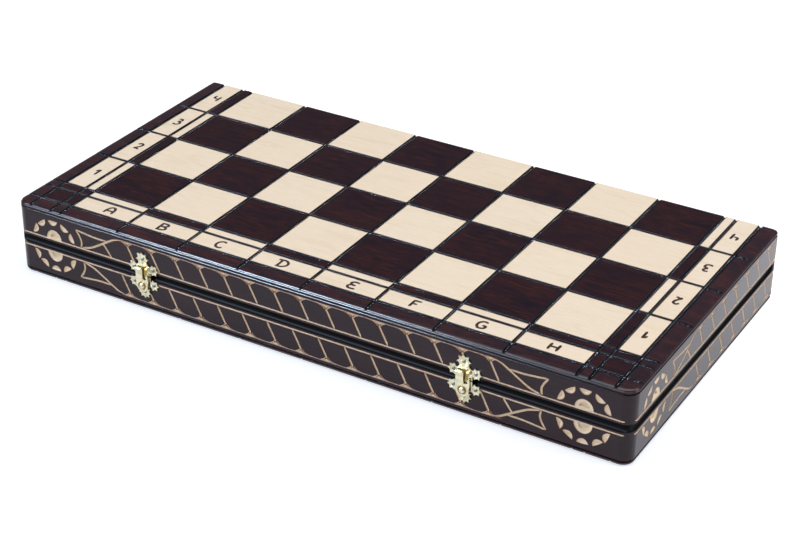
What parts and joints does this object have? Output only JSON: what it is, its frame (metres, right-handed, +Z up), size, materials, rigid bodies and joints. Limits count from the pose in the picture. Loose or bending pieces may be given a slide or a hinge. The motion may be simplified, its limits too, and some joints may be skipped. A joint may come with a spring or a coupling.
{
  "type": "folding chess board case with chess pieces",
  "caption": "Folding wooden chess board case with carved walls, inlaid playing field, brass latches and hinges, and turned chess pieces in nest trays.",
  "frame": {"origin": "centre of the closed case's underside", "axes": "+X along the hinge line, from file A to file H; +Y towards the hinges, latches at the front on -Y; +Z up through the closed case"},
  "size_m": [0.479, 0.2464, 0.056],
  "materials": {
    "stained_panel": "satin lacquer over dark brown stain",
    "dark_veneer": "satin lacquer over dark brown stain",
    "pale_veneer": "satin lacquer over pale maple",
    "carved_wall": "glossy lacquer over charcoal brown stain, pale carved lines",
    "flocked_tray": "short green flock",
    "hinge_brass": "brushed",
    "latch_brass": "stamped, pale and bright",
    "light_piece_wood": "satin lacquer over natural hornbeam",
    "dark_piece_wood": "satin lacquer over dark brown stain"
  },
  "bodies": {
    "lower_half": {"lower_panel": "stained_panel", "lower_light_fields": "pale_veneer", "lower_dark_fields": "dark_veneer", "lower_front_wall": "carved_wall", "lower_back_wall": "carved_wall", "lower_left_wall": "carved_wall", "lower_right_wall": "carved_wall", "lower_tray": "flocked_tray", "left_hinge_lower_leaf": "hinge_brass", "left_hinge_pin": "hinge_brass", "right_hinge_lower_leaf": "hinge_brass", "right_hinge_pin": "hinge_brass", "hinge_screws_lower": "hinge_brass", "left_latch_base_plate": "latch_brass", "left_latch_rivet": "latch_brass", "right_latch_base_plate": "latch_brass", "right_latch_rivet": "latch_brass", "latch_nails_lower": "latch_brass", "light_king": "light_piece_wood", "light_queen": "light_piece_wood", "light_bishop_1": "light_piece_wood", "light_bishop_2": "light_piece_wood", "light_knight_1": "light_piece_wood", "light_knight_2": "light_piece_wood", "light_rook_1": "light_piece_wood", "light_rook_2": "light_piece_wood", "light_pawns": "light_piece_wood"},
    "upper_half": {"upper_panel": "stained_panel", "upper_light_fields": "pale_veneer", "upper_dark_fields": "dark_veneer", "upper_front_wall": "carved_wall", "upper_back_wall": "carved_wall", "upper_left_wall": "carved_wall", "upper_right_wall": "carved_wall", "upper_tray": "flocked_tray", "left_hinge_upper_leaf": "hinge_brass", "right_hinge_upper_leaf": "hinge_brass", "hinge_screws_upper": "hinge_brass", "left_latch_catch_plate": "latch_brass", "right_latch_catch_plate": "latch_brass", "latch_nails_upper": "latch_brass", "dark_king": "dark_piece_wood", "dark_queen": "dark_piece_wood", "dark_bishop_1": "dark_piece_wood", "dark_bishop_2": "dark_piece_wood", "dark_knight_1": "dark_piece_wood", "dark_knight_2": "dark_piece_wood", "dark_rook_1": "dark_piece_wood", "dark_rook_2": "dark_piece_wood", "dark_pawns": "dark_piece_wood"},
    "left_latch_arm": {"left_latch_arm": "latch_brass"},
    "right_latch_arm": {"right_latch_arm": "latch_brass"}
  },
  "joints": [
    {"name": "lid_hinge", "type": "hinge", "parent": "lower_half", "child": "upper_half", "pos_m": [0, 0.1199, 0.028], "axis": [-1, 0, 0], "range_deg": [0, 180]},
    {"name": "left_latch_swing", "type": "hinge", "parent": "lower_half", "child": "left_latch_arm", "pos_m": [-0.1285, -0.11975, 0.0205], "axis": [0, -1, 0], "range_deg": [0, 90]},
    {"name": "right_latch_swing", "type": "hinge", "parent": "lower_half", "child": "right_latch_arm", "pos_m": [0.1235, -0.11975, 0.0205], "axis": [0, -1, 0], "range_deg": [0, 90]}
  ]
}
